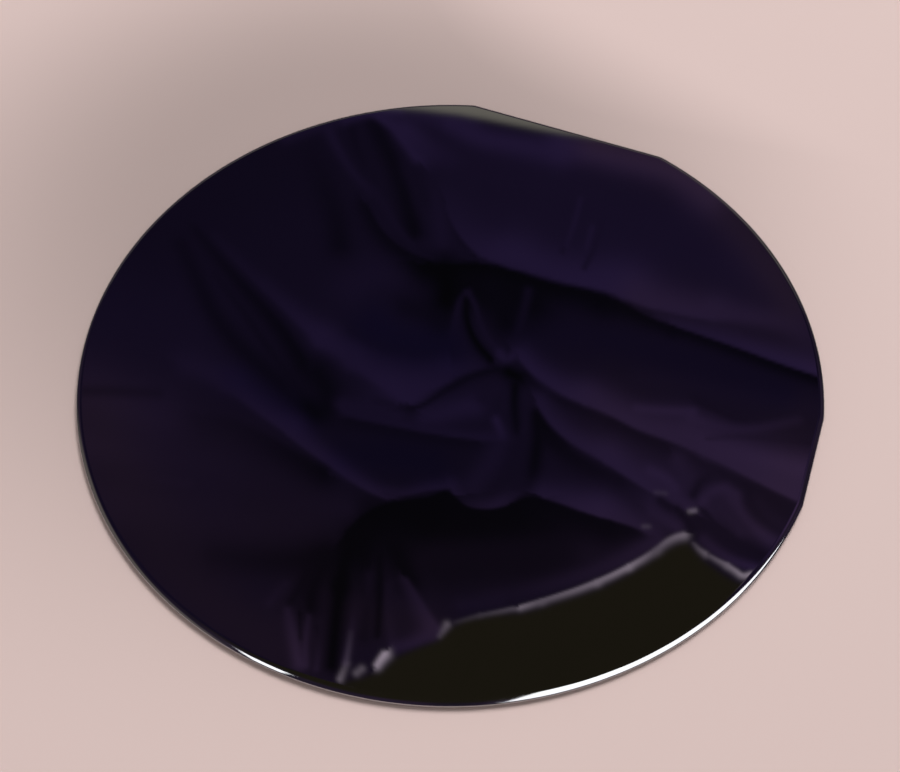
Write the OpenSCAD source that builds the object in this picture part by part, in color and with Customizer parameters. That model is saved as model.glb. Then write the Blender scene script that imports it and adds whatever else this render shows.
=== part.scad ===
// Polished gallium arsenide wafer, 2 inch size, with two orientation flats.
// One solid: a thin round slice of crystal whose edge is ground to a rounded profile.
// The profile is swept all the way round the outline: along the two round arcs, along
// the two flats, and round the blended corners between them.
// Origin: centre of the round edge, on the back face. +Z points out of the polished
// front face, +Y out of the primary flat and +X out of the secondary flat.

/* [Wafer] */
// Diameter over the round edge, in mm
wafer_d = 50.8; // [36:0.1:160]
// Thickness from the back face to the polished front face, in mm
wafer_t = 0.5; // [0.36:0.01:1.2]

/* [Orientation flats] */
// Length of the primary flat, as a chord of the round edge, in mm
primary_flat_len = 16.5; // [10:0.1:22]
// Length of the secondary flat, as a chord of the round edge, in mm
secondary_flat_len = 7; // [4:0.1:12]
// Radius of the blend at both ends of each flat, in mm
flat_blend_r = 2; // [1:0.1:5]

/* [Ground edge] */
// Radius of the shoulder that the rounding starts with at each face, in mm
shoulder_r = 0.7; // [0.3:0.01:1.5]
// Radius of the nose at the very edge, in mm
nose_r = 0.17; // [0.08:0.01:0.24]

/* [Hidden] */

// Facets on a full turn of the outline, and on the small circles of the profile
outline_fn = 720;
profile_fn = 144;

wafer_r = wafer_d / 2;
half_t = wafer_t / 2;

// The shoulders leave the faces smoothly, this far in from the edge, and run smoothly
// into the nose.
round_w = nose_r + sqrt((shoulder_r - nose_r)^2 - (shoulder_r - half_t)^2);
// Distance in from the edge at which a shoulder meets the nose
nose_w = nose_r * (1 - (round_w - nose_r) / (shoulder_r - nose_r));

// Width of the rim that is swept round the outline, and how far in from the outline the
// plate inside it ends. The two lap where both have their full thickness.
rim_w = (flat_blend_r + round_w) / 2;
plate_inset = (rim_w + round_w) / 2;

// Distance of each flat from the centre of the wafer
function flat_dist(flat_len) = sqrt(wafer_r^2 - (flat_len / 2)^2);

// A flat takes the place of the round edge over this angle either side of its middle.
// Each blend touches the round edge from inside at the end of that angle. It is rounded
// to a thousandth of a degree.
function half_angle(flat_len) =
    let (reach = wafer_r - flat_blend_r)
    round(1000 * acos((flat_dist(flat_len) - flat_blend_r) / reach)) / 1000;

primary_a = half_angle(primary_flat_len);
secondary_a = half_angle(secondary_flat_len);

// Moves a shape to a point in a coarse and a fine step. The point then keeps all its
// digits, and shapes that meet there meet exactly.
module exactly_at(p) {
    coarse = [for (v = p) round(100 * v) / 100];
    translate(coarse)
        translate(p - coarse)
            children();
}

// Section through the ground edge. Its tip is at x = 0, and it is solid inwards from
// there, with the two faces half a thickness either side of y = 0.
module edge_profile() {
    // Flat part between the two faces
    exactly_at([-round_w, 0])
        polygon([[0, -half_t], [0, half_t], [round_w - rim_w, half_t], [round_w - rim_w, -half_t]]);
    // Shoulders: what lies inside both the upper and the lower shoulder arc
    intersection() {
        exactly_at([-round_w, half_t - shoulder_r])
            circle(r = shoulder_r, $fn = 2 * profile_fn);
        exactly_at([-round_w, shoulder_r - half_t])
            circle(r = shoulder_r, $fn = 2 * profile_fn);
        exactly_at([-round_w, 0])
            translate([0, -wafer_t])
                square(2 * wafer_t);
        exactly_at([-nose_w, 0])
            translate([-2 * wafer_t, -wafer_t])
                square(2 * wafer_t);
    }
    // Nose
    intersection() {
        translate([-nose_r, 0])
            circle(r = nose_r, $fn = profile_fn);
        exactly_at([-nose_w, 0])
            translate([0, -wafer_t])
                square(2 * wafer_t);
    }
}

// The profile turned about a centre, from one angle to another
module round_edge(r, from_a, to_a) {
    rotate_extrude(angle = to_a - from_a, start = from_a, $fn = outline_fn)
        translate([r, 0])
            edge_profile();
}

// The profile run along the X axis, from x = -length to 0, with its edge facing +Y
module straight_edge(y, length) {
    translate([-length, 0, 0])
        rotate([90, 0, 90])
            linear_extrude(length)
                translate([y, 0])
                    edge_profile();
}

// Right-hand half of a flat that faces +Y: its blend and its half of the straight
// stretch, which runs a little past the middle
module half_flat(a) {
    blend = (wafer_r - flat_blend_r) * [sin(a), cos(a)];
    exactly_at(blend) {
        round_edge(flat_blend_r, 90 - a, 90);
        straight_edge(flat_blend_r, blend.x + rim_w);
    }
}

module flat_edge(a) {
    half_flat(a);
    mirror([1, 0, 0])
        half_flat(a);
}

// The plate inside the rim
module plate() {
    r = wafer_r - plate_inset;
    translate([0, 0, -half_t])
        linear_extrude(wafer_t)
            intersection() {
                circle(r = r, $fn = outline_fn);
                translate([-wafer_r, -wafer_r])
                    square([
                        wafer_r + flat_dist(secondary_flat_len) - plate_inset,
                        wafer_r + flat_dist(primary_flat_len) - plate_inset
                    ]);
            }
}

module wafer() {
    color([0.105, 0.07, 0.16])
        translate([0, 0, half_t])
            union() {
                plate();
                // Short arc between the two flats, then the long arc round the rest
                round_edge(wafer_r, secondary_a, 90 - primary_a);
                round_edge(wafer_r, 90 + primary_a, 360 - secondary_a);
                // Primary flat, facing +Y
                flat_edge(primary_a);
                // Secondary flat, facing +X
                rotate([0, 0, -90])
                    flat_edge(secondary_a);
            }
}

wafer();
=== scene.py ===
"""Looks of a polished gallium arsenide wafer, built round its CAD frame.

The wafer is a thin round slice of crystal with two flats. Its front face is a mirror, its
edge is ground round, and its back is etched dull. It lies face up on a plain pale floor,
with a painted shadow pool behind it. A flat sheet hangs over the stage, where only
reflections show it, and gives the mirror something to reflect: it glows with a dark violet
cloth's painted light and shade of folds, and painted highlights along its border.
"""

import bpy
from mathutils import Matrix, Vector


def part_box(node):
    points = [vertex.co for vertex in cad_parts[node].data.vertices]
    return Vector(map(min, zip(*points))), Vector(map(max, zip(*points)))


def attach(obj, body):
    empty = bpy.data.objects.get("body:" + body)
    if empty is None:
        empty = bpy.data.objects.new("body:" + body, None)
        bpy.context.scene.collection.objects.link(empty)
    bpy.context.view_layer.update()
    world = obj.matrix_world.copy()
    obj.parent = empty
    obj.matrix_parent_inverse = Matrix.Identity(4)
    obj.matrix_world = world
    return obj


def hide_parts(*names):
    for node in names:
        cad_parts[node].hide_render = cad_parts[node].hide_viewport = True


bl_info = {
    "name": "Gallium Arsenide Wafer",
    "version": (1, 0, 0),
    "blender": (4, 5, 0),
    "location": "3D View > Sidebar > Wafer",
    "description": "Polished wafer with a ground edge and two flats, on a plain pale stage",
    "category": "Object",
}

import math

import bmesh
import bpy
import numpy as np
from mathutils import Matrix, Vector

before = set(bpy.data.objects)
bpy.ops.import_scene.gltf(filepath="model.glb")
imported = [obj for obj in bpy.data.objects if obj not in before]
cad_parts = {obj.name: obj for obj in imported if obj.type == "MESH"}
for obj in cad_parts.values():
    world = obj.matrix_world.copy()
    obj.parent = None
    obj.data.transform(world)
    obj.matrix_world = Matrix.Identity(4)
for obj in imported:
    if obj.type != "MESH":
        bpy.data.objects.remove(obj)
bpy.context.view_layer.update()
WAFER_LO, WAFER_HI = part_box("wafer")

MM = 0.001

# Materials of the wafer, in the order of its material slots
FACE, EDGE, BACK = range(3)


# ---------------------------------------------------------------- sizes and colours


def length(name, default, text):
    return bpy.props.FloatProperty(
        name=name, description=text, default=default, min=0.0, max=10.0,
        precision=6, subtype="DISTANCE", unit="LENGTH",
    )


def share(name, default, text, low=0.0, high=1.0):
    return bpy.props.FloatProperty(
        name=name, description=text, default=default, min=low, max=high, subtype="FACTOR"
    )


def colour(name, default, text):
    return bpy.props.FloatVectorProperty(
        name=name, description=text, default=default, size=3,
        min=0.0, max=10.0, subtype="COLOR",
    )


class WaferSizes(bpy.types.PropertyGroup):
    """Sizes of the slice. Those of the outline come from the CAD frame."""

    diameter: length("Diameter", -2 * WAFER_LO.x, "Diameter over the round edge")
    thickness: length("Thickness", WAFER_HI.z, "From the back face to the polished face")
    primary_flat: length("Primary flat", WAFER_HI.y, "Distance of the long flat from the centre")
    secondary_flat: length(
        "Secondary flat", WAFER_HI.x, "Distance of the short flat from the centre"
    )
    blend_radius: length("Flat blend", 2 * MM, "Radius of the corner at each end of a flat")
    shoulder_radius: length("Shoulder", 0.7 * MM, "Radius with which the rounding leaves a face")
    nose_radius: length("Nose", 0.17 * MM, "Radius of the very edge")


class WaferFinish(bpy.types.PropertyGroup):
    """Finishes of the crystal."""

    crystal: colour("Crystal", (0.365, 0.372, 0.392), "Colour that polished crystal reflects")
    ground: colour("Ground edge", (0.375, 0.378, 0.392), "Colour that the ground edge reflects")
    etched: colour("Etched back", (0.33, 0.335, 0.35), "Colour of the etched back")
    dust: colour("Dust", (0.62, 0.58, 0.55), "Colour of the few dust specks")
    face_roughness: share("Face roughness", 0.014, "Roughness of the polished face")
    edge_roughness: share("Edge roughness", 0.055, "Roughness of the ground edge")
    back_roughness: share("Back roughness", 0.42, "Roughness of the etched back")
    grinding_depth: length(
        "Grinding depth", 0.0013 * MM, "Depth of the lines that run along the ground edge"
    )
    etch_depth: length("Etch depth", 0.003 * MM, "Height of the grain on the etched back")


class StageLook(bpy.types.PropertyGroup):
    """Floor, light, cloth and camera."""

    floor: colour("Floor", (0.70, 0.548, 0.524), "Colour of the floor")
    # Painted shade: a darker pool on the floor behind the wafer, standing in for its soft shadow
    floor_dark: colour("Floor, darker", (0.42, 0.33, 0.316), "Its darker patch behind the wafer")
    backdrop: colour("Backdrop", (0.70, 0.55, 0.52), "Pale background behind the floor")
    fill: colour("Fill light", (0.36, 0.35, 0.34), "Even light from all round")
    wall: colour("Wall", (0.292, 0.268, 0.222), "Low part of the surroundings, in reflections")
    dusk: colour("Dusk", (0.045, 0.028, 0.058), "Part between wall and ceiling, in reflections")
    dusk_dark: colour("Dusk, darker", (0.024, 0.016, 0.033), "Its darker folds")
    side_wall: colour("Side wall", (0.2, 0.17, 0.155), "Wall on the left, in reflections")
    ceiling: colour("Ceiling", (0.024, 0.0196, 0.0115), "High part, in reflections")
    # The cloth glows with these colours: its steps of tone are painted light and shade of its
    # folds
    cloth: colour("Cloth", (0.00100, 0.00053, 0.00280), "Bluest violet for each step of tone")
    cloth_warm: colour("Cloth, warm", (0.0019, 0.00097, 0.00275), "Reddest violet, likewise")
    cloth_black: colour("Cloth black", (0.0025, 0.0026, 0.0024), "Darkest tone of the cloth")
    # Painted highlight: the hem's brightness is painted into the glowing cloth
    hem: colour("Hem", (0.0058, 0.0047, 0.0054), "Hem's colour for each step of tone")
    lamp_level: share("Lamp level", 2.8, "Brightness of the lamps in reflections", 0.0, 50.0)
    sky_level: share("Sky level", 10.1, "Brightness of the lamp that lights the floor", 0.0, 50.0)
    focal_length: bpy.props.FloatProperty(
        name="Focal length", description="Focal length of the camera", default=36.41,
        min=10.0, max=200.0, unit="CAMERA",
    )


# ---------------------------------------------------------------- shader helpers


class Graph:
    """A few short ways to add nodes to a material, a world or a node group."""

    def __init__(self, tree):
        self.tree = tree
        tree.nodes.clear()

    def put(self, kind, _settings=None, **inputs):
        node = self.tree.nodes.new(kind)
        for key, value in (_settings or {}).items():
            setattr(node, key, value)
        for key, value in inputs.items():
            self.set(node, key.replace("_", " "), value)
        return node

    def set(self, node, key, value):
        socket = node.inputs[int(key)] if key.isdigit() else node.inputs[key]
        if isinstance(value, bpy.types.NodeSocket):
            self.tree.links.new(value, socket)
        else:
            socket.default_value = value

    def maths(self, operation, a, b=0.0, c=None):
        node = self.put("ShaderNodeMath", {"operation": operation})
        for i, value in enumerate((a, b) if c is None else (a, b, c)):
            self.set(node, str(i), value)
        return node.outputs[0]

    def noise(self, vector, scale, detail=2.0, roughness=0.5, kind="3D"):
        node = self.put(
            "ShaderNodeTexNoise", {"noise_dimensions": kind},
            Vector=vector, Scale=scale, Detail=detail, Roughness=roughness,
        )
        return node.outputs[0]

    def stretch(self, value, low, high, new_low, new_high):
        """value from low..high to new_low..new_high, smoothly and no further"""
        node = self.put("ShaderNodeMapRange", {"interpolation_type": "SMOOTHSTEP"})
        for i, v in enumerate((value, low, high, new_low, new_high)):
            self.set(node, str(i), v)
        return node.outputs[0]

    def mix(self, factor, a, b):
        node = self.put("ShaderNodeMix", {"data_type": "RGBA"})
        for socket, value in ((0, factor), (6, a), (7, b)):
            self.set(node, str(socket), value)
        return node.outputs[2]

    def place(self, vector, scale):
        return self.put("ShaderNodeMapping", Vector=vector, Scale=Vector(scale)).outputs[0]

    def mix_shaders(self, factor, a, b):
        node = self.put("ShaderNodeMixShader", Fac=factor)
        self.set(node, "1", a)
        self.set(node, "2", b)
        return node.outputs[0]


def rgba(c):
    return (c[0], c[1], c[2], 1.0)


def add_object(name, data):
    made = bpy.data.objects.new(name, data)
    bpy.context.scene.collection.objects.link(made)
    return made


def new_group(name, inputs, outputs):
    """Empty shader node group with named sockets, given as (name, type, default)"""
    tree = bpy.data.node_groups.new(name, "ShaderNodeTree")
    for way, sockets in (("INPUT", inputs), ("OUTPUT", outputs)):
        for label, kind, *default in sockets:
            socket = tree.interface.new_socket(label, in_out=way, socket_type=kind)
            if default:
                socket.default_value = default[0]
    graph = Graph(tree)
    return tree, graph, graph.put("NodeGroupInput"), graph.put("NodeGroupOutput")


# The haze's fine patches: how many times finer than the broad ones, and their share. Then
# the part of the noise that goes from smooth to rough.
HAZE_FINER, HAZE_FINE_SHARE, HAZE_RANGE = 9.0, 0.35, (0.36, 0.64)


def haze_group():
    """Patchy roughness: the faint haze that polishing, grinding and etching leave"""
    tree, g, given, out = new_group(
        "Surface haze",
        [
            ("Vector", "NodeSocketVector"),
            ("Scale", "NodeSocketFloat", 100.0),
            ("Smooth", "NodeSocketFloat", 0.03),
            ("Rough", "NodeSocketFloat", 0.05),
        ],
        [("Roughness", "NodeSocketFloat"), ("Patches", "NodeSocketFloat")],
    )
    broad = g.noise(given.outputs["Vector"], given.outputs["Scale"], 3.0)
    fine_scale = g.maths("MULTIPLY", given.outputs["Scale"], HAZE_FINER)
    fine = g.noise(given.outputs["Vector"], fine_scale, 2.0)
    broad = g.maths("MULTIPLY", broad, 1 - HAZE_FINE_SHARE)
    both = g.maths("MULTIPLY_ADD", fine, HAZE_FINE_SHARE, broad)
    patches = g.stretch(both, *HAZE_RANGE, 0.0, 1.0)
    spread = g.maths("SUBTRACT", given.outputs["Rough"], given.outputs["Smooth"])
    g.set(out, "Roughness", g.maths("MULTIPLY_ADD", patches, spread, given.outputs["Smooth"]))
    g.set(out, "Patches", patches)
    return tree


def dust_group():
    """Mask of a few tiny specks: 1 on a speck, 0 between them"""
    tree, g, given, out = new_group(
        "Dust specks",
        [
            ("Vector", "NodeSocketVector"),
            ("Scale", "NodeSocketFloat", 300.0),
            ("Size", "NodeSocketFloat", 0.05),
            ("Share", "NodeSocketFloat", 0.1),
        ],
        [("Mask", "NodeSocketFloat")],
    )
    cells = g.put(
        "ShaderNodeTexVoronoi",
        Vector=given.outputs["Vector"], Scale=given.outputs["Scale"], Randomness=1.0,
    )
    inside = g.stretch(cells.outputs["Distance"], given.outputs["Size"], 0.0, 0.0, 1.0)
    chance = g.put("ShaderNodeSeparateColor", Color=cells.outputs["Color"]).outputs[0]
    kept = g.maths("LESS_THAN", chance, given.outputs["Share"])
    g.set(out, "Mask", g.maths("MULTIPLY", inside, kept))
    return tree


def new_material(name):
    material = bpy.data.materials.new(name)
    material.use_nodes = True
    graph = Graph(material.node_tree)
    return material, graph, graph.put("ShaderNodeOutputMaterial")


# How much paler the haze's patches are than the rest, and how much rougher a speck is
PATCH_PALER = 1.03
SPECK_ROUGHER = 0.5
# Grinding lines per metre, along the edge and across it, and the fine lines' share
COARSE_LINES, FINE_LINES, FINE_LINES_SHARE = (90.0, 13000.0, 1.0), (260.0, 42000.0, 1.0), 0.3
# Pits and grains per metre on the etched back
PITS, GRAINS = 5200.0, 9000.0


def crystal_material(name, base, finish, haze, dust):
    """A crystal finish: one reflecting colour with faint patches, haze and dust specks.

    haze is (scale, smoothest, roughest) and dust is (scale, size, share of specks).
    Returns the material, its graph, its Principled node and the object coordinates.
    """
    material, g, out = new_material(name)
    at = g.put("ShaderNodeTexCoord").outputs["Object"]
    rough = g.put(
        "ShaderNodeGroup", {"node_tree": bpy.data.node_groups["Surface haze"]},
        Vector=at, Scale=haze[0], Smooth=haze[1], Rough=haze[2],
    )
    specks = g.put(
        "ShaderNodeGroup", {"node_tree": bpy.data.node_groups["Dust specks"]},
        Vector=at, Scale=dust[0], Size=dust[1], Share=dust[2],
    ).outputs["Mask"]
    paler = tuple(PATCH_PALER * c for c in base)
    body = g.mix(rough.outputs["Patches"], rgba(base), rgba(paler))
    shader = g.put("ShaderNodeBsdfPrincipled", Metallic=1.0)
    g.set(shader, "Base Color", g.mix(specks, body, rgba(finish.dust)))
    roughness = g.maths("MULTIPLY_ADD", specks, SPECK_ROUGHER, rough.outputs["Roughness"])
    g.set(shader, "Roughness", roughness)
    g.set(out, "Surface", shader.outputs[0])
    return material, g, shader, at


def bump(g, shader, height, distance):
    node = g.put("ShaderNodeBump", Strength=1.0, Distance=distance, Height=height)
    g.set(shader, "Normal", node.outputs[0])


def face_material(finish):
    rough = finish.face_roughness
    return crystal_material(
        "Polished crystal", finish.crystal, finish,
        (55.0, 0.85 * rough, 1.2 * rough), (420.0, 0.022, 0.05),
    )[0]


def edge_material(finish):
    rough = finish.edge_roughness
    material, g, shader, _ = crystal_material(
        "Ground edge", finish.ground, finish,
        (350.0, 0.8 * rough, 1.25 * rough), (900.0, 0.03, 0.06),
    )
    # Grinding lines run along the edge: long one way, narrow the other
    along = g.put("ShaderNodeUVMap", {"uv_map": EDGE_MAP}).outputs[0]
    coarse = g.noise(g.place(along, COARSE_LINES), 1.0, 1.0, 0.5, "2D")
    fine = g.noise(g.place(along, FINE_LINES), 1.0, 2.0, 0.6, "2D")
    coarse = g.maths("MULTIPLY", coarse, 1 - FINE_LINES_SHARE)
    lines = g.maths("MULTIPLY_ADD", fine, FINE_LINES_SHARE, coarse)
    bump(g, shader, lines, finish.grinding_depth)
    return material


def back_material(finish):
    rough = finish.back_roughness
    material, g, shader, at = crystal_material(
        "Etched back", finish.etched, finish,
        (120.0, 0.85 * rough, 1.15 * rough), (600.0, 0.03, 0.04),
    )
    pits = g.put("ShaderNodeTexVoronoi", Vector=at, Scale=PITS, Randomness=1.0)
    grain = g.noise(at, GRAINS, 2.0)
    bump(g, shader, g.maths("ADD", pits.outputs["Distance"], grain), finish.etch_depth)
    return material


# ---------------------------------------------------------------- the wafer

EDGE_MAP = "Along the edge"
OUTLINE_STEP = math.radians(0.35)
BLEND_STEP = math.radians(1.5)
FLAT_STEP = 0.25 * MM
SHOULDER_STEPS = 14
NOSE_STEPS = 20
# Rings inside the polished face and the back, as shares of the rim's size
FACE_RINGS = (0.15, 0.4, 0.65, 0.85, 0.96)


def arc_points(centre, radius, start, end, step):
    """Points and outward directions of an arc, without its last point"""
    n = max(2, math.ceil((end - start) / step))
    a = start + (end - start) * np.arange(n) / n
    out = np.stack([np.cos(a), np.sin(a)], 1)
    return np.array(centre) + radius * out, out


def line_points(start, end, out):
    n = max(2, math.ceil(math.dist(start, end) / FLAT_STEP))
    t = np.arange(n)[:, None] / n
    return (1 - t) * np.array(start) + t * np.array(end), np.tile(out, (n, 1))


def outline(size):
    """The wafer's outline, anticlockwise from above: points and outward directions"""
    radius, blend = size.diameter / 2, size.blend_radius
    reach = radius - blend
    secondary = math.acos((size.secondary_flat - blend) / reach)
    primary = math.acos((size.primary_flat - blend) / reach)
    quarter = math.pi / 2

    def centre(a):
        return (reach * math.cos(a), reach * math.sin(a))

    def flat(middle, half, distance):
        """Blend, straight stretch and blend of one flat, about its middle direction"""
        c, s = math.cos(middle), math.sin(middle)
        side = reach * math.sin(half)
        ends = [(distance * c + k * side * s, distance * s - k * side * c) for k in (1, -1)]
        return [
            arc_points(centre(middle - half), blend, middle - half, middle, BLEND_STEP),
            line_points(*ends, (c, s)),
            arc_points(centre(middle + half), blend, middle, middle + half, BLEND_STEP),
        ]

    parts = [
        *flat(0.0, secondary, size.secondary_flat),
        arc_points((0, 0), radius, secondary, quarter - primary, OUTLINE_STEP),
        *flat(quarter, primary, size.primary_flat),
        arc_points((0, 0), radius, quarter + primary, 4 * quarter - secondary, OUTLINE_STEP),
    ]
    return np.concatenate([p for p, _ in parts]), np.concatenate([n for _, n in parts])


def profile(size):
    """Ground edge from the front face to the back: distance in from the outline, height,
    and the two parts of the outward direction"""
    half, r1, r2 = size.thickness / 2, size.shoulder_radius, size.nose_radius
    width = r2 + math.sqrt((r1 - r2) ** 2 - (r1 - half) ** 2)
    meet = math.asin((width - r2) / (r1 - r2))
    upper = []
    for a in np.linspace(0, meet, SHOULDER_STEPS, endpoint=False):
        upper.append((width - r1 * math.sin(a), half - r1 + r1 * math.cos(a), a))
    nose = [
        (r2 - r2 * math.sin(a), r2 * math.cos(a), a)
        for a in np.linspace(meet, math.pi - meet, NOSE_STEPS + 1)
    ]
    lower = [(d, -z, math.pi - a) for d, z, a in reversed(upper)]
    return [(d, half + z, math.sin(a), math.cos(a)) for d, z, a in upper + nose + lower]


def wafer_mesh(size):
    """Closed mesh of the wafer, ring by ring from the middle of its face to that of its back"""
    points, outward = outline(size)
    n = len(points)
    edge = profile(size)
    rim = points - outward * edge[0][0]
    rings = [(s * rim, size.thickness, (0, 0, 1)) for s in FACE_RINGS]
    kinds = [FACE] * len(FACE_RINGS)
    for depth, z, side, up in edge:
        rings.append((points - outward * depth, z, (side, side, up)))
        kinds.append(EDGE)
    kinds[-1] = BACK
    rings += [(s * rim, 0.0, (0, 0, -1)) for s in reversed(FACE_RINGS)]
    kinds += [BACK] * (len(FACE_RINGS) - 1)

    places, normals = [], []
    for xy, z, (side, _, up) in rings:
        places.append(np.column_stack([xy, np.full(n, z)]))
        normals.append(np.column_stack([outward * side, np.full(n, up)]))
    i = np.arange(n)
    after = (i + 1) % n
    faces = []
    for k in range(len(rings) - 1):
        a, b = k * n, (k + 1) * n
        faces += np.stack([a + i, b + i, b + after, a + after], 1).tolist()
    last = (len(rings) - 1) * n
    faces += [i.tolist(), (last + i[::-1]).tolist()]

    mesh = bpy.data.meshes.new("polished_wafer")
    mesh.from_pydata(np.concatenate(places).tolist(), [], faces)
    slots = np.repeat(kinds, n).tolist() + [FACE, BACK]
    mesh.polygons.foreach_set("material_index", slots)
    mesh.polygons.foreach_set("use_smooth", [True] * len(faces))

    # Map of the edge, in metres: along the outline one way, across the profile the other
    steps = np.linalg.norm(np.roll(points, -1, 0) - points, axis=1)
    along = np.concatenate([[0], np.cumsum(steps)])
    across = np.zeros(len(rings))
    for k in range(1, len(rings)):
        across[k] = across[k - 1] + np.linalg.norm(places[k][0] - places[k - 1][0])
    u = np.stack([along[:-1], along[:-1], along[1:], along[1:]], 1)
    uv = []
    for k in range(len(rings) - 1):
        v = np.tile([across[k], across[k + 1], across[k + 1], across[k]], (n, 1))
        uv.append(np.stack([u, v], 2).reshape(-1, 2))
    uv += [rings[0][0], rings[-1][0][::-1]]
    mesh.uv_layers.new(name=EDGE_MAP).data.foreach_set("uv", np.concatenate(uv).ravel())

    mesh.validate()
    mesh.normals_split_custom_set_from_vertices(np.concatenate(normals).tolist())
    return mesh


def check_closed(mesh):
    made = bmesh.new()
    made.from_mesh(mesh)
    open_edges = sum(not e.is_manifold for e in made.edges)
    volume = made.calc_volume(signed=True)
    made.free()
    if open_edges or volume <= 0:
        raise RuntimeError(f"the wafer's mesh has {open_edges} open edges, volume {volume}")


class WAFER_OT_wafer(bpy.types.Operator):
    """Builds the wafer: polished face, ground edge and etched back"""

    bl_idname = "wafer.build_wafer"
    bl_label = "Wafer"

    def execute(self, context):
        finish = context.scene.wafer_finish
        mesh = wafer_mesh(context.scene.wafer_sizes)
        check_closed(mesh)
        haze_group()
        dust_group()
        for make in (face_material, edge_material, back_material):
            mesh.materials.append(make(finish))
        wafer = add_object("polished_wafer", mesh)
        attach(wafer, "root")
        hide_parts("wafer")
        return {"FINISHED"}


# ---------------------------------------------------------------- the cloth overhead

# The camera looks down at the wafer, and its mirror image looks up through it at the
# cloth. The cloth hangs square to that line of sight. Places on it are in millimetres from
# a corner, to the right and down, as they show in the wafer's face.
CAMERA_TURN = math.radians(23.7)
CAMERA_TILT = math.radians(54.52)
CAMERA_PLACE = Vector((-0.02286, -39.68496, 49.73574)) * MM
CLOTH_MIDDLE = (450.0, 386.0)
CLOTH_AWAY = 0.907
# Ends of the cloth and of its parts, and the distance between its points in each part
CLOTH_X = ((-420, 12), (60, 2.5), (840, 12), (1200, 12))
CLOTH_Y = ((-420, 12), (90, 3.2), (485, 1.8), (700, 12), (1000, 12))
CLOTH_FADE = 130.0
# How softly the cloth ends at its low and high edges
EDGE_SOFTNESS = 3.0
# Painted light on the wall past the low edge: pale as far up as this, and darkening over this
# distance
WALL_FROM, WALL_FADE = 100.0, 110.0
# Tone and hue of the cloth where no area or fold covers it
BARE_TONE, BARE_HUE = 9.0, 0.3
# How far from its line a stroke still counts, in spreads
STROKE_REACH = 2.6

# Where the cloth ends low down, against the pale wall, and high up, against the ceiling
LOW_EDGE = (
    (-420, 40), (60, 60), (250, 88), (340, 103), (380, 107), (400, 108.5), (422, 110.5),
    (459, 115), (485, 119.5), (513, 125), (534, 129), (562, 134), (600, 139), (640, 143),
    (700, 148), (860, 152), (1200, 140),
)
HIGH_EDGE = (
    (-420, 1100), (60, 1000), (230, 800), (300, 700), (335, 687), (348, 680), (362, 677),
    (380, 670), (395, 657), (415, 648), (436, 640), (452, 626), (466, 619), (500, 613),
    (520, 612), (540, 607), (560, 600), (580, 594), (600, 587), (615, 580), (630, 572),
    (650, 560), (665, 549), (675, 544), (686, 541), (695, 551), (703, 560), (720, 572),
    (735, 581), (750, 586), (790, 622), (900, 750), (1200, 1060),
)

# Painted light and shade of the cloth: broad areas, then the lit ridges and shaded valleys of
# its folds, from the back layer to the front one. Each is (tone, spread on the left, spread on
# the right, places), where left and right are those of someone walking along the places. A
# pair of tones or spreads runs from start to end.
AREA_SHADING = (
    (7.6, 60, 60, ((150, 230), (220, 190), (300, 150))),
    (10.5, 45, 40, ((100, 315), (150, 325), (190, 340))),
    (15, 40, 36, ((60, 380), (110, 400), (150, 420))),
    ((14.5, 11), 26, 26, ((90, 445), (160, 455), (225, 472))),
    ((12.5, 9.5), 36, 36, ((100, 500), (200, 508), (290, 515))),
    (10.5, 40, 40, ((150, 590), (210, 615), (270, 650))),
    (13, 60, 60, ((480, 190), (560, 195), (640, 225), (740, 275))),
    (16, 26, 26, ((700, 205), (760, 268), (810, 330))),
    (9, 30, 26, ((520, 328), (600, 342), (680, 356), (760, 385), (840, 408))),
    (10, 36, 30, ((345, 322), (400, 332), (440, 335))),
    (7.5, 22, 26, ((330, 448), (420, 455), (480, 462))),
    (2.5, 34, 30, ((380, 522), (450, 526), (540, 532))),
    (5.2, 26, 26, ((450, 572), (520, 562), (580, 552))),
    (8.5, 16, 16, ((590, 552), (640, 534))),
    (42, 90, 90, ((950, 560), (1060, 620), (1180, 690))),
)
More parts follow.
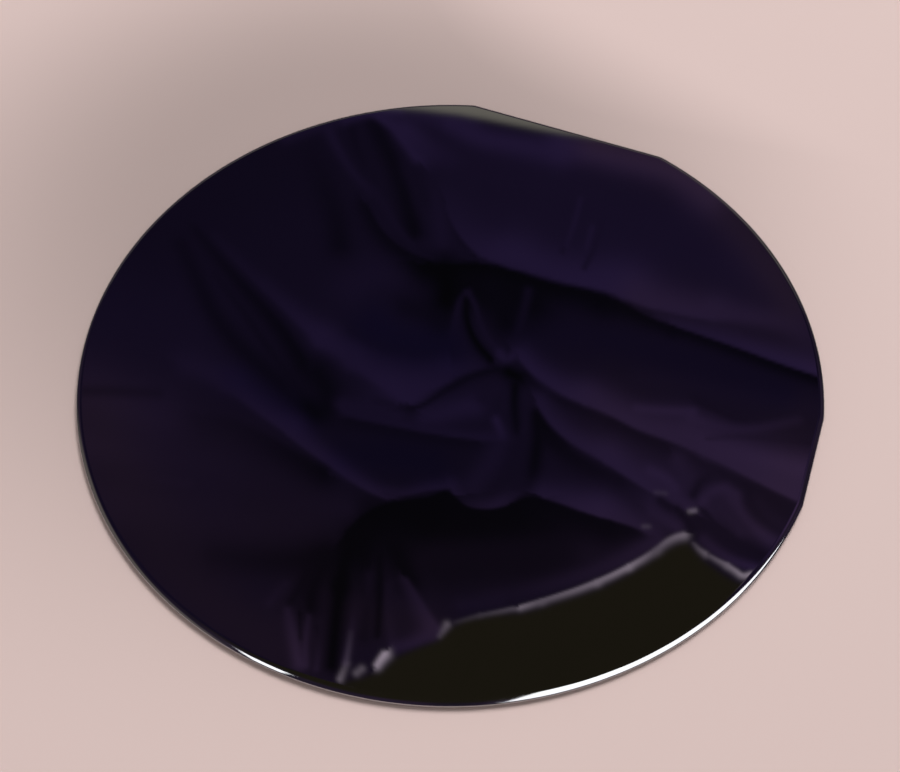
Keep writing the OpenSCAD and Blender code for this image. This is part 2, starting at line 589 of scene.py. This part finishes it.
FOLD_SHADING = (
    # Left field with its two valleys and the pool where they end
    (10, 6, 6, ((70, 391), (110, 391), (160, 393))),
    (12, 5, 5, ((112, 472), (150, 476), (190, 484))),
    (
        (6, 4.6), (9, 14), (9, 13),
        ((182, 245), (198, 280), (216, 316), (240, 347), (268, 372), (300, 400)),
    ),
    (
        (6, 3.2), (4, 8), (7, 14),
        ((196, 228), (214, 251), (232, 272), (250, 292), (268, 312), (286, 334), (304, 362)),
    ),
    ((7.4, 5.6), 5, 5, ((216, 275), (240, 306), (262, 338), (286, 372), (296, 396))),
    (3.4, 18, 18, ((318, 374), (328, 392), (326, 410))),
    (2.4, 9, 9, ((309, 408), (316, 414))),
    # Light ridge from the upper left to its tip in the middle
    ((9.5, 13), (6, 10), 3, ((216, 238), (234, 257), (250, 274), (266, 290))),
    ((13, 20), (10, 16), (3, 7), ((266, 290), (285, 307), (302, 323), (321, 341))),
    ((20, 18.5), (14, 15), (9.5, 10.5), ((321, 339), (336, 348), (352, 358))),
    ((18, 22), (16, 30), (8, 3), ((352, 362), (372, 376), (388, 388), (404, 400))),
    ((22, 18), (30, 18), 3, ((404, 401), (418, 394), (434, 387), (450, 379))),
    ((17, 11), (15, 9), 3, ((450, 377), (466, 371), (482, 366), (494, 362))),
    (9.5, 16, 6, ((352, 330), (385, 347), (420, 353), (446, 346))),
    (5.8, 16, 13, ((406, 306), (426, 314), (440, 324))),
    (12, 20, 18, ((352, 288), (375, 276), (402, 274))),
    # Second ridge, below it
    ((14, 15), (18, 16), (12, 10), ((188, 366), (208, 373), (228, 384))),
    ((15, 19), (17, 15), (6, 3), ((228, 385), (246, 399), (266, 415), (289, 432))),
    (
        (19, 18), (15, 9), 3,
        ((289, 433), (310, 449.5), (332, 465), (351, 478.5), (371, 490), (388, 496.5)),
    ),
    ((14, 16), (7, 9), (2.5, 2), ((388, 495), (408, 493), (428, 489), (448, 487))),
    ((8.5, 3.2), 6, 18, ((212, 417), (236, 424), (264, 437), (292, 453), (324, 471))),
    (9.5, 12, 12, ((250, 500), (300, 506), (345, 508))),
    # Top: the dark folds beside the bright corner, and the light hook
    ((7, 4.8), 14, 14, ((312, 150), (324, 185), (336, 218), (340, 245))),
    ((14, 12), (6, 4), (7, 5), ((326, 124), (340, 152), (356, 176), (372, 192))),
    ((6, 7.5), (5, 4), 6, ((350, 120), (357, 146), (366, 166))),
    ((4.5, 3.4), (8, 10), (12, 14), ((374, 120), (386, 146), (398, 172), (407, 200), (415, 232))),
    (8, 4, 4, ((361, 128), (368, 154), (377, 184))),
    ((10.5, 9.5), 4, (5, 4), ((374, 190), (386, 208), (396, 226), (408, 241), (422, 251))),
    ((4.5, 3.4), 3, (11, 14), ((366, 206), (378, 228), (392, 243), (408, 254), (428, 262))),
    (8.5, 11, 11, ((412, 170), (420, 186), (424, 200))),
    ((12, 13), 8, (6, 7), ((437, 196), (440, 222), (442, 244))),
    ((8.5, 10.5), (5, 6), (4, 3), ((418, 249), (432, 256), (450, 258), (468, 257))),
    (7.5, 3, (5, 6), ((448, 202), (454, 222), (462, 240), (474, 255))),
    # Upper right panel, from its bright corner to its lower edge
    (24, 14, (4, 6), ((376, 116), (393, 128), (405, 142), (417, 158))),
    ((24, 15), (14, 16), (8, 12), ((405, 134), (428, 152), (446, 160))),
    (19, 12, 12, ((400, 110), (440, 118), (470, 124))),
    (14, 6, 7, ((286, 138), (320, 126), (345, 120))),
    ((20, 28), (4, 5), 5, ((345, 120), (372, 114), (400, 111))),
    (24, 12, (11, 15), ((452, 124), (480, 138), (520, 146), (560, 154))),
    ((26.5, 26), (18, 20), (13, 19), ((560, 148), (620, 160), (670, 172), (708, 196))),
    (11, 12, 12, ((440, 184), (462, 190))),
    ((12, 13.5), 24, 16, ((480, 195), (530, 206), (580, 218), (640, 232), (700, 252))),
    ((14, 25), (20, 28), 3, ((447, 206), (455, 225), (469, 244), (488, 258), (511, 266))),
    ((25, 27), (28, 30), 3, ((511, 266), (536, 273), (566, 281), (600, 288), (622, 295))),
    ((27, 26), (30, 22), 4, ((622, 295), (642, 303), (662, 309), (690, 315), (712, 317))),
    ((25, 17), (14, 12), (8, 12), ((712, 315), (745, 317), (780, 323), (820, 335))),
    (12.5, 3, 3, ((562, 252), (574, 232), (583, 208))),
    (12.5, 3, 3, ((584, 268), (594, 248), (602, 222))),
    (17, 3, 3, ((566, 246), (574, 224), (580, 200))),
    (18, 3, 3, ((586, 248), (592, 228))),
    ((15, 13), (5, 4), 6, ((658, 316), (684, 322), (712, 327), (736, 331))),
    (
        (20, 31), (7, 20), 3,
        ((672, 325), (700, 334), (726, 343), (752, 352), (782, 363), (824, 378)),
    ),
    (2.6, 20, 24, ((470, 292), (500, 296), (530, 304))),
    (1.4, 2.5, (24, 20), ((428, 264), (450, 266), (472, 265), (496, 268))),
    (
        (1.4, 2.2), 2.5, (26, 20),
        ((496, 268), (520, 275), (552, 285), (582, 291), (604, 297)),
    ),
    ((2.2, 3.4), 2.5, (18, 9), ((604, 297), (624, 306), (648, 319), (672, 328))),
    (
        (3.4, 2.4), 2.5, 9,
        ((672, 328), (700, 337.5), (726, 346.5), (752, 356), (782, 367), (828, 382)),
    ),
    # Black heart beside the panel's corner, and the dark on its right
    (1.1, 18, 16, ((444, 272), (447, 288), (446, 300))),
    (3, 16, 16, ((492, 290), (502, 306), (506, 322))),
    (7.6, 5, 5, ((528, 292), (522, 318), (515, 344))),
    # Small peak in the dark, left of the pinch
    ((9, 10.5), (4, 3), (12, 5), ((452, 350), (454, 326), (459, 304), (466, 293))),
    ((9.5, 11.5), (3.5, 4), 3, ((468, 293), (475, 306), (480, 324), (489, 341), (502, 354))),
    ((2, 1.3), (3, 4), (4, 7), ((466, 300), (467, 318), (472, 334), (480, 347), (491, 359))),
    # Pinch
    (20, 5, 5, ((500, 354), (506, 360), (514, 355))),
    ((5, 4.5), 3, (4, 5), ((396, 410), (420, 406), (446, 390), (472, 376), (498, 369))),
    # Panel left of the pinch, and its lower edge
    ((17, 18.5), (9, 13), (10, 13), ((424, 420), (450, 411), (474, 405))),
    (11, 10, 8, ((484, 398), (496, 390))),
    (13, 10, 8, ((345, 406), (372, 411), (396, 416))),
    (11, 6, 5, ((376, 401), (392, 405))),
    (
        (12.5, 15), (7, 8), 2.5,
        ((344, 411), (372, 419), (402, 425), (432, 431), (466, 437), (500, 439)),
    ),
    (5.5, 2, (12, 10), ((350, 420), (384, 427), (420, 434), (452, 439), (478, 442))),
    (21, 5, 5, ((496, 420), (500, 430), (502, 438))),
    (12.5, 13, 13, ((500, 448), (488, 466), (474, 484))),
    (8.5, 12, 10, ((516, 450), (514, 470), (512, 486))),
    ((17, 20), (10, 11), 2, ((452, 490), (460, 500), (474, 506), (490, 507), (504, 504))),
    ((17, 7), (5, 3), 2, ((504, 504), (513, 496), (524, 492), (534, 491))),
    # Black spot of the pinch, the black fold down from it, and the wedge to its right
    (1.2, 8, 8, ((508, 372), (516, 376), (522, 378))),
    ((2, 4.5), (5, 6), 5, ((515, 386), (514, 402), (515, 418), (517, 430))),
    (9.5, 4, 4, ((527, 398), (528, 414), (523, 432))),
    (10, 4, 4, ((504, 392), (503, 408))),
    ((2.4, 3), (9, 8), (7, 8), ((537, 414), (538, 436), (535, 458), (532, 486))),
    (2.6, 7, 7, ((540, 418), (548, 432), (560, 444))),
    ((3.6, 6.3), (6, 7), 14, ((552, 436), (574, 456), (600, 472), (618, 482))),
    ((6.3, 16), (7, 8), (12, 10), ((618, 482), (634, 490), (652, 500))),
    # Long bands to the right of the pinch
    ((22, 27), (14, 19), 3, ((521, 359), (533, 372), (547, 383), (565, 394), (585, 402.5))),
    (
        (27, 29), (19, 29), 3,
        ((585, 402.5), (611, 413.5), (637, 427), (665, 437), (691, 447.5)),
    ),
    ((28, 33), (30, 40), 3, ((691, 447), (717, 459), (748, 475), (780, 491), (812, 506))),
    ((30, 35), (12, 15), (10, 14), ((706, 448), (750, 458), (806, 472))),
    (10.5, 12, 14, ((640, 380), (680, 385), (720, 395), (770, 402), (826, 412))),
    ((9, 10), (8, 12), (3, 4), ((694, 401), (714, 410), (736, 419), (760, 421))),
    (27, 5, 5, ((636, 409), (664, 411), (692, 412))),
    ((27, 15), 5, 6, ((690, 418), (720, 428), (752, 429), (796, 420))),
    ((20, 8.5), (2, 5), (2, 3), ((706, 438), (732, 437), (760, 438), (792, 441), (828, 445))),
    ((5, 8), (2.5, 3), (5, 6), ((527, 378), (543, 391), (559, 400), (585, 411), (611, 422.5))),
    ((7, 7.5), 3, (8, 11), ((611, 421), (641, 436), (669, 447), (695, 460), (720, 473))),
    ((7.5, 10), 3, (11, 16), ((712, 468), (740, 484), (770, 500), (806, 516))),
    ((19, 25), (12, 18), 3, ((538, 403), (550, 421), (568, 438), (590, 452), (606, 461))),
    ((27, 25), (20, 36), 3, ((606, 461), (626, 474), (646, 487), (668, 500), (684, 508))),
    (28, 6, 6, ((650, 471), (664, 478), (674, 487))),
    (19, 12, 8, ((676, 462), (682, 474), (688, 488))),
    ((21, 28), (16, 20), 2.5, ((543, 496), (560, 501), (578, 507), (600, 515))),
    ((28, 21), (20, 14), 2.5, ((600, 515), (620, 519.5), (638, 526.5), (650, 533.5))),
    # Black under the blue panels and the lowest band, with a softer violet below it
    (
        (1.3, 1.4), 2.5, (34, 40),
        ((348, 532), (362, 518), (382, 506), (408, 501), (432, 498)),
    ),
    (
        (1.4, 1.8), 2.5, (36, 30),
        ((432, 497), (446, 492), (456, 500), (468, 509), (490, 511), (512, 506)),
    ),
    ((1.8, 3), 2.5, (28, 20), ((512, 504), (530, 498), (556, 505), (584, 515), (610, 522))),
    ((3, 5), 2.5, (18, 12), ((610, 523), (632, 530), (646, 540))),
    (4.8, 18, 16, ((440, 566), (490, 558), (540, 556))),
    ((9, 19), (9, 10), (6, 8), ((490, 600), (530, 591), (578, 577), (622, 559), (656, 540))),
    # Fan of folds at the lower left
    ((7, 3.2), (16, 22), (16, 20), ((218, 556), (258, 560), (298, 560), (326, 556))),
    (3, 13, 13, ((324, 560), (314, 584), (310, 606))),
    ((1.8, 3), (16, 12), (14, 12), ((362, 540), (366, 568), (370, 588))),
    (1.6, (16, 12), (10, 9), ((352, 536), (345, 560), (340, 585))),
    ((1.4, 1.6), (12, 9), (11, 8), ((340, 585), (336, 622), (332, 664))),
    (2.2, 17, 17, ((394, 546), (402, 564), (408, 580))),
    ((3.6, 5), (7, 6), (7, 6), ((310, 572), (298, 592), (286, 610))),
    ((10, 12), 4, (4, 6), ((286, 583), (278, 592), (270, 603))),
    ((5.5, 6), 4, 4, ((300, 600), (306, 616))),
    ((15, 27), (5, 7), (6, 8), ((288, 610), (294, 636), (300, 662))),
    ((13, 24), (3, 4), (3, 4), ((309, 616), (306, 640), (305, 664))),
    ((3.5, 8), 2, 2, ((300, 612), (301, 638))),
    ((6, 16), 3, (3, 4), ((317, 626), (319, 648), (317, 668))),
    ((7, 6), (9, 8), 7, ((370, 576), (368, 604), (364, 636))),
    ((9, 22), 4, (3, 4), ((354, 612), (350, 640), (346, 662))),
    ((2.6, 3.4), (5, 4), 5, ((380, 556), (380, 596), (378, 634))),
    ((8, 13), (6, 8), 3, ((388, 584), (388, 612), (391, 644))),
    ((12, 24), (3, 5), (8, 14), ((406, 579), (417, 597), (428, 615), (438, 630))),
    (9, 4, 4, ((398, 600), (404, 622))),
    ((19, 23), (7, 10), 6, ((396, 647), (412, 643), (430, 635))),
    (11, 9, 6, ((462, 606), (500, 600))),
    # Small folds at the hem's peak, and the loop beside it
    ((20, 22), (12, 9), 8, ((652, 512), (664, 519), (676, 526))),
    (9, 5, 5, ((660, 500), (668, 506))),
    (8, 4, 4, ((676, 508), (686, 520), (694, 536))),
    ((11, 9), 6, 6, ((712, 474), (700, 482), (693, 494))),
    ((27, 25), (5, 7), (8, 10), ((703, 500), (713, 491), (724, 489), (733, 496))),
    ((24, 27), (6, 8), (10, 8), ((733, 496), (738, 510), (748, 523), (762, 534), (780, 546))),
    (18, 10, 8, ((714, 504), (728, 516), (740, 530))),
    ((11, 13), 8, 6, ((756, 500), (768, 516), (786, 528))),
    ((10, 8), 3, (7, 8), ((703, 510), (717, 526), (736, 541), (756, 551), (778, 562))),
    ((18, 28), (7, 5), (6, 5), ((703, 540), (716, 551), (734, 561), (756, 568))),
)

# How warm the violet is, from bluish (0) to reddish (1), in the same way
HUES = (
    (-0.1, 22, 26, ((375, 326), (402, 340), (445, 344))),
    (-0.1, 22, 26, ((345, 458), (390, 458), (430, 466))),
    (0.75, 26, 26, ((640, 300), (720, 312), (820, 345))),
    (1.3, 24, 26, ((600, 140), (680, 170), (745, 225), (795, 300))),
    (0.85, 60, 60, ((620, 410), (690, 440), (820, 480))),
    (0.95, 60, 50, ((420, 560), (540, 560), (700, 540))),
    (1.0, 80, 60, ((120, 520), (240, 530), (310, 560), (310, 650))),
    (0.75, 60, 50, ((80, 400), (150, 430), (210, 465))),
    (1.3, 40, 40, ((92, 420), (120, 480), (160, 550), (220, 610), (280, 650))),
    (1.2, 26, 26, ((350, 612), (390, 622), (430, 625))),
    (1.1, 90, 90, ((950, 560), (1060, 620), (1180, 690))),
    (1.1, 36, 40, ((800, 440), (790, 480), (760, 520))),
    (0.1, 16, 20, ((240, 375), (275, 395), (310, 418))),
    (0.2, 20, 20, ((520, 330), (620, 342), (700, 362), (780, 388))),
)

# Painted highlights along the hem, as lines and knots in the same way
HEM_HIGHLIGHTS = (
    ((6, 11), 2, 3, ((456, 621), (470, 617), (480, 614))),
    ((12, 24), 1.6, (3.2, 3.6), ((480, 614), (500, 610), (514, 607))),
    ((62, 34), 1.6, (4, 4.6), ((520, 606), (530, 603), (541, 599.5))),
    ((38, 62), (1.4, 1.6), 4.6, ((541, 599.5), (560, 593.5), (578, 587.5), (596, 580.5))),
    ((62, 76), (1.6, 1.8), (4.6, 4.2), ((596, 580.5), (612, 573.5), (628, 565.5))),
    ((76, 32), (1.8, 2), (4.2, 5), ((628, 565.5), (642, 557.5), (655, 549))),
    ((32, 56), (2, 2.6), (5, 5.5), ((655, 549), (666, 540.5), (675, 536), (683, 534))),
    ((14, 40), (2, 2.5), (2.5, 4), ((693, 543), (699, 549), (705, 553))),
    ((26, 46), 1.8, (3, 4), ((709, 555), (718, 560), (727, 564))),
    ((50, 90), (2, 2.4), 4, ((727, 564.5), (735, 570), (742, 574.5), (751, 573))),
    ((36, 30), (4, 8), (4, 8), ((758, 580), (800, 626), (850, 684))),
    ((100, 115), 3, (5, 6), ((377, 664), (380.5, 658.5), (384.5, 653))),
    (30, 4, 4, ((357, 672), (362, 668))),
    ((3, 10), 3, 3, ((351, 632), (349, 648), (346.5, 662))),
    ((16, 42), 4, 3, ((346.5, 663), (343, 671), (340, 678))),
    ((14, 34), (3, 4), (3, 4), ((440, 635), (444, 629), (447, 624))),
    (36, 2.5, 2.5, ((689, 511), (694, 510))),
    (10, 2.5, 2.5, ((643, 526), (648, 526))),
    (4.5, 2.5, 2.5, ((655, 492), (665, 493))),
)


def smoothed(places, per_step=5):
    """A smooth line through the places, as more places"""
    p = np.array(places, float)
    if len(p) < 3:
        return p
    p = np.vstack([2 * p[0] - p[1], p, 2 * p[-1] - p[-2]])
    t = (np.arange(per_step) / per_step)[:, None]
    line = [
        0.5 * (2 * b + (c - a) * t + (2 * a - 5 * b + 4 * c - d) * t**2
               + (3 * b - a - 3 * c + d) * t**3)
        for a, b, c, d in zip(p, p[1:], p[2:], p[3:])
    ]
    return np.vstack([*line, p[-2:-1]])


def nearest_on(line, x, y):
    """For each point: distance to the line, +1 or -1 for its left or right side, and the
    share of the way along it"""
    best = np.full(x.shape, np.inf)
    side, along = np.zeros(x.shape), np.zeros(x.shape)
    lengths = np.linalg.norm(np.diff(line, axis=0), axis=1)
    start = np.concatenate([[0], np.cumsum(lengths)])
    for k, (a, b) in enumerate(zip(line, line[1:])):
        dx, dy = b - a
        t = np.clip(((x - a[0]) * dx + (y - a[1]) * dy) / (dx * dx + dy * dy), 0, 1)
        away = np.hypot(x - a[0] - t * dx, y - a[1] - t * dy)
        closer = away < best
        best = np.where(closer, away, best)
        left = np.sign((x - a[0]) * dy - (y - a[1]) * dx)
        side = np.where(closer, left, side)
        along = np.where(closer, (start[k] + t * lengths[k]) / start[-1], along)
    return best, side, along


def pair(value):
    return value if isinstance(value, tuple) else (value, value)


def paint(field, x, y, stroke):
    """Draws one stroke over what is there: a fold's or an area's painted light and shade, a hue,
    or a painted highlight
    """
    tone, left, right, places = stroke
    tone, left, right = pair(tone), pair(left), pair(right)
    line = smoothed(places)
    reach = STROKE_REACH * max(left + right)
    (x0, y0), (x1, y1) = line.min(0) - reach, line.max(0) + reach
    near = (x > x0) & (x < x1) & (y > y0) & (y < y1)
    away, side, u = nearest_on(line, x[near], y[near])
    spread = np.where(
        side > 0, left[0] + (left[1] - left[0]) * u, right[0] + (right[1] - right[0]) * u
    )
    cover = np.exp(-((away / spread) ** 2))
    new = tone[0] + (tone[1] - tone[0]) * u
    field[near] += cover * (new - field[near])


def facing(v):
    """A place or direction, given across the camera's level line of sight and along it"""
    return Matrix.Rotation(CAMERA_TURN, 3, "Z") @ Vector(v)


def past(line, x, y):
    """1 beyond a line that runs from left to right, 0 before it, softly in between"""
    away, side, _ = nearest_on(np.array(line, float), x, y)
    return 1 / (1 + np.exp(np.clip(2 * side * away / EDGE_SOFTNESS, -40, 40)))


def steps_along(parts):
    """Places along the cloth, from the start of its first part to the end of its last"""
    runs = [np.arange(start, end, step) for (start, step), (end, _) in zip(parts, parts[1:])]
    return np.concatenate([*runs, [parts[-1][0]]])


def cloth_colours(look, x, y):
    """What the glowing cloth shows at each place: painted light and shade of its folds, painted
    highlights along its border, and what lies past its ends, with painted light on the wall
    """
    tone, hue = np.full(x.shape, BARE_TONE), np.full(x.shape, BARE_HUE)
    hem = np.zeros(x.shape)
    for field, strokes in ((tone, AREA_SHADING + FOLD_SHADING), (hue, HUES), (hem, HEM_HIGHLIGHTS)):
        for stroke in strokes:
            paint(field, x, y, stroke)
    hue, tone, hem = hue[:, None], tone[:, None], hem[:, None]
    violet = (1 - hue) * np.array(look.cloth) + hue * np.array(look.cloth_warm)
    ceiling = past(HIGH_EDGE, x, y)[:, None]
    wall = 1 - past(LOW_EDGE, x, y)[:, None]
    lit = np.exp(-((np.clip(WALL_FROM - y, 0, None) / WALL_FADE) ** 2))[:, None]
    shown = np.array(look.cloth_black) + tone * violet
    shown = shown * (1 - ceiling) + np.array(look.ceiling) * ceiling
    # Painted highlights along the hem go on top
    shown = shown + hem * np.array(look.hem)
    past_cloth = np.array(look.dusk) * (1 - lit) + np.array(look.wall) * lit
    return shown * (1 - wall) + past_cloth * wall


def make_cloth(look):
    """The violet cloth, a flat glowing sheet which only reflections show: its folds are painted
    light and shade, with painted highlights along its border
    """
    x, y = np.meshgrid(steps_along(CLOTH_X), steps_along(CLOTH_Y))
    rows, columns = x.shape
    x, y = x.ravel(), y.ravel()
    shown = cloth_colours(look, x, y)
    inside = np.minimum.reduce([x - x[0], x[-1] - x, y - y[0], y[-1] - y])
    cover = np.clip(inside / CLOTH_FADE, 0, 1)
    cover = cover * cover * (3 - 2 * cover)

    s, c = math.sin(CAMERA_TILT), math.cos(CAMERA_TILT)
    mirror_z = 2 * WAFER_HI.z - (CAMERA_PLACE.z + WAFER_HI.z / 2)
    eye = np.array(facing((CAMERA_PLACE.x, CAMERA_PLACE.y, mirror_z)))
    ahead, right, up = (np.array(facing(v)) for v in ((0, c, s), (1, 0, 0), (0, s, -c)))
    places = (
        eye + CLOTH_AWAY * ahead
        + np.outer((x - CLOTH_MIDDLE[0]) * MM, right)
        + np.outer((CLOTH_MIDDLE[1] - y) * MM, up)
    )
    k = np.arange(rows * columns).reshape(rows, columns)
    faces = np.stack([k[:-1, :-1], k[1:, :-1], k[1:, 1:], k[:-1, 1:]], -1).reshape(-1, 4)
    mesh = bpy.data.meshes.new("cloth_overhead")
    mesh.from_pydata(places.tolist(), [], faces.tolist())
    tones = mesh.color_attributes.new("Tone", "FLOAT_COLOR", "POINT")
    tones.data.foreach_set("color", np.column_stack([shown, cover]).ravel())

    # The cloth glows and no lamp lights it: its colours are painted light and shade
    material, g, out = new_material("Violet cloth")
    tone = g.put("ShaderNodeAttribute", {"attribute_name": "Tone"})
    glow = g.put("ShaderNodeEmission", Color=tone.outputs["Color"], Strength=1.0)
    clear = g.put("ShaderNodeBsdfTransparent")
    both = g.mix_shaders(tone.outputs["Alpha"], clear.outputs[0], glow.outputs[0])
    g.set(out, "Surface", both)
    mesh.materials.append(material)

    cloth = add_object("cloth_overhead", mesh)
    for ray in ("camera", "diffuse", "transmission", "volume_scatter", "shadow"):
        setattr(cloth, "visible_" + ray, False)


# ---------------------------------------------------------------- floor, light, camera

FLOOR_HALF = 4.0
FLOOR_DROP = 0.002 * MM
# The floor keeps its own look this near to the wafer and turns into the backdrop further on
FLOOR_NEAR, FLOOR_FAR = 0.12, 0.5
# Its painted shadow, a darker pool, across the line of sight and along it: where it is and how
# it pales outwards, and a direction in which it ends sooner
SHADE_POOL_MIDDLE, SHADE_POOL_REACH = (-0.009, 0.016, 0.0), (0.012, 0.046)
SHADE_POOL_WAY, SHADE_POOL_END = (0.7, 0.7, 0.0), (0.02, 0.038)
LAMP_HEIGHT = 1.0
SENSOR_WIDTH = 36.0
# Level direction of the side wall, across the line of sight and along it
SIDE_WALL = (-0.996, -0.087, 0.0)
# Where the surroundings change, as the upward part of a direction: from wall to dusk, at
# the side wall's top, and from dusk to ceiling. The side wall's ends are cosines.
WALL_TOP, SIDE_WALL_TOP, CEILING = (0.0, 0.22), (0.56, 0.7), (0.78, 0.94)
SIDE_WALL_ENDS = (0.84, 0.94)
# Scale of the dusk's folds, and the part of their noise that goes from dark to light
DUSK_SCALE, DUSK_RANGE = (5.0, 5.0, 1.5), (0.36, 0.62)
# Ceiling lamps, across the camera's line of sight and along it: middle, size, turn, and
# whether the lamp shows in reflections or lights what is dull
LAMPS = {
    "lamp_right": ((1.03, -0.80), (1.58, 1.44), 5.0, True),
    "lamp_left": ((-0.825, -0.76), (0.82, 0.21), 56.0, True),
    "lamp_far": ((0.45, 0.62), (0.7, 0.7), 0.0, False),
}


def make_floor(look):
    mesh = bpy.data.meshes.new("floor")
    corners = [(x * FLOOR_HALF, y * FLOOR_HALF, -FLOOR_DROP)
               for x, y in ((-1, -1), (1, -1), (1, 1), (-1, 1))]
    mesh.from_pydata(corners, [], [(0, 1, 2, 3)])
    material, g, out = new_material("Pale floor")
    at = g.put("ShaderNodeTexCoord").outputs["Object"]
    # Painted shade: the floor's colour darkens in a soft pool behind the wafer, a painted shadow
    patch = g.put("ShaderNodeVectorMath", {"operation": "DISTANCE"}, Vector=at)
    g.set(patch, "1", facing(SHADE_POOL_MIDDLE))
    tone = g.stretch(patch.outputs["Value"], *SHADE_POOL_REACH, 0.0, 1.0)
    behind = g.put("ShaderNodeVectorMath", {"operation": "DOT_PRODUCT"}, Vector=at)
    g.set(behind, "1", facing(SHADE_POOL_WAY))
    tone = g.maths("MAXIMUM", tone, g.stretch(behind.outputs["Value"], *SHADE_POOL_END, 0.0, 1.0))
    shader = g.put("ShaderNodeBsdfPrincipled", Roughness=1.0)
    g.set(shader, "Specular IOR Level", 0.0)
    g.set(shader, "Base Color", g.mix(tone, rgba(look.floor_dark), rgba(look.floor)))
    distance = g.put("ShaderNodeVectorMath", {"operation": "LENGTH"}, Vector=at).outputs["Value"]
    far = g.stretch(distance, FLOOR_NEAR, FLOOR_FAR, 0.0, 1.0)
    seen = g.put("ShaderNodeLightPath").outputs["Is Camera Ray"]
    glow = g.put("ShaderNodeEmission", Color=rgba(look.backdrop), Strength=1.0)
    far_seen = g.maths("MULTIPLY", far, seen)
    g.set(out, "Surface", g.mix_shaders(far_seen, shader.outputs[0], glow.outputs[0]))
    mesh.materials.append(material)
    add_object("floor", mesh)


def make_world(look):
    """Even fill light, a pale backdrop for the camera, and walls for reflections"""
    world = bpy.data.worlds.new("Studio")
    world.use_nodes = True
    bpy.context.scene.world = world
    g = Graph(world.node_tree)
    out = g.put("ShaderNodeOutputWorld")
    at = g.put("ShaderNodeTexCoord").outputs["Generated"]
    height = g.put("ShaderNodeSeparateXYZ", Vector=at).outputs["Z"]
    folds = g.stretch(g.noise(g.place(at, DUSK_SCALE), 1.0, 2.0), *DUSK_RANGE, 0.0, 1.0)
    dusk = g.mix(folds, rgba(look.dusk_dark), rgba(look.dusk))
    walls = g.mix(g.stretch(height, *WALL_TOP, 0.0, 1.0), rgba(look.wall), dusk)
    level = g.place(at, (1, 1, 0))
    level = g.put("ShaderNodeVectorMath", {"operation": "NORMALIZE"}, Vector=level).outputs[0]
    towards = g.put("ShaderNodeVectorMath", {"operation": "DOT_PRODUCT"}, Vector=level)
    g.set(towards, "1", facing(SIDE_WALL))
    side = g.stretch(towards.outputs["Value"], *SIDE_WALL_ENDS, 0.0, 1.0)
    side = g.maths("MULTIPLY", side, g.stretch(height, *SIDE_WALL_TOP, 1.0, 0.0))
    walls = g.mix(side, walls, rgba(look.side_wall))
    walls = g.mix(g.stretch(height, *CEILING, 0.0, 1.0), walls, rgba(look.ceiling))
    path = g.put("ShaderNodeLightPath")
    light = g.mix(path.outputs["Is Glossy Ray"], rgba(look.fill), walls)
    light = g.mix(path.outputs["Is Camera Ray"], light, rgba(look.backdrop))
    background = g.put("ShaderNodeBackground", Color=light, Strength=1.0)
    g.set(out, "Surface", background.outputs[0])


def make_lamps(look):
    for name, ((x, y), (width, depth), degrees, shows) in LAMPS.items():
        lamp = bpy.data.lights.new(name, "AREA")
        lamp.shape = "RECTANGLE"
        lamp.size, lamp.size_y = width, depth
        level = look.lamp_level if shows else look.sky_level
        lamp.energy = level * math.pi * width * depth
        holder = add_object(name, lamp)
        place = Matrix.Translation((x, y, LAMP_HEIGHT))
        turn = Matrix.Rotation(math.radians(degrees), 4, "Z")
        holder.matrix_world = Matrix.Rotation(CAMERA_TURN, 4, "Z") @ place @ turn
        holder.visible_camera = False
        holder.visible_glossy, holder.visible_diffuse = shows, not shows


def make_camera(look):
    camera = bpy.data.cameras.new("camera")
    camera.sensor_width = SENSOR_WIDTH
    camera.lens = look.focal_length
    camera.clip_start = MM
    holder = add_object("camera", camera)
    s, c = math.sin(CAMERA_TILT), math.cos(CAMERA_TILT)
    axes = Matrix(((1, 0, 0), (0, s, c), (0, -c, s))).transposed()
    middle = Vector((0, 0, WAFER_HI.z / 2))
    place = Matrix.Translation(CAMERA_PLACE + middle) @ axes.to_4x4()
    holder.matrix_world = Matrix.Rotation(CAMERA_TURN, 4, "Z") @ place
    bpy.context.scene.camera = holder


class WAFER_OT_stage(bpy.types.Operator):
    """Builds the stage: floor with a painted shadow pool, light, the glowing cloth with painted
    light and shade that reflections show, and the camera
    """

    bl_idname = "wafer.build_stage"
    bl_label = "Stage"

    def execute(self, context):
        look = context.scene.stage_look
        make_floor(look)
        make_world(look)
        make_lamps(look)
        make_cloth(look)
        make_camera(look)
        context.scene.view_settings.view_transform = "Standard"
        return {"FINISHED"}


# ---------------------------------------------------------------- the add-on


class WAFER_PT_panel(bpy.types.Panel):
    """Sizes, finishes and build steps of the wafer"""

    bl_idname = "WAFER_PT_panel"
    bl_label = "Wafer"
    bl_space_type = "VIEW_3D"
    bl_region_type = "UI"
    bl_category = "Wafer"

    def draw(self, context):
        layout = self.layout
        for holder in SETTINGS:
            group = getattr(context.scene, holder)
            column = layout.box().column()
            for name in group.__annotations__:
                column.prop(group, name)
        for operator in (WAFER_OT_wafer, WAFER_OT_stage):
            layout.operator(operator.bl_idname)


SETTINGS = {"wafer_sizes": WaferSizes, "wafer_finish": WaferFinish, "stage_look": StageLook}
CLASSES = (*SETTINGS.values(), WAFER_OT_wafer, WAFER_OT_stage, WAFER_PT_panel)


def register():
    for cls in CLASSES:
        bpy.utils.register_class(cls)
    for name, kind in SETTINGS.items():
        setattr(bpy.types.Scene, name, bpy.props.PointerProperty(type=kind))


def unregister():
    for name in SETTINGS:
        delattr(bpy.types.Scene, name)
    for cls in reversed(CLASSES):
        bpy.utils.unregister_class(cls)


def main():
    register()
    bpy.ops.wafer.build_wafer()
    bpy.ops.wafer.build_stage()


if __name__ == "__main__":
    main()
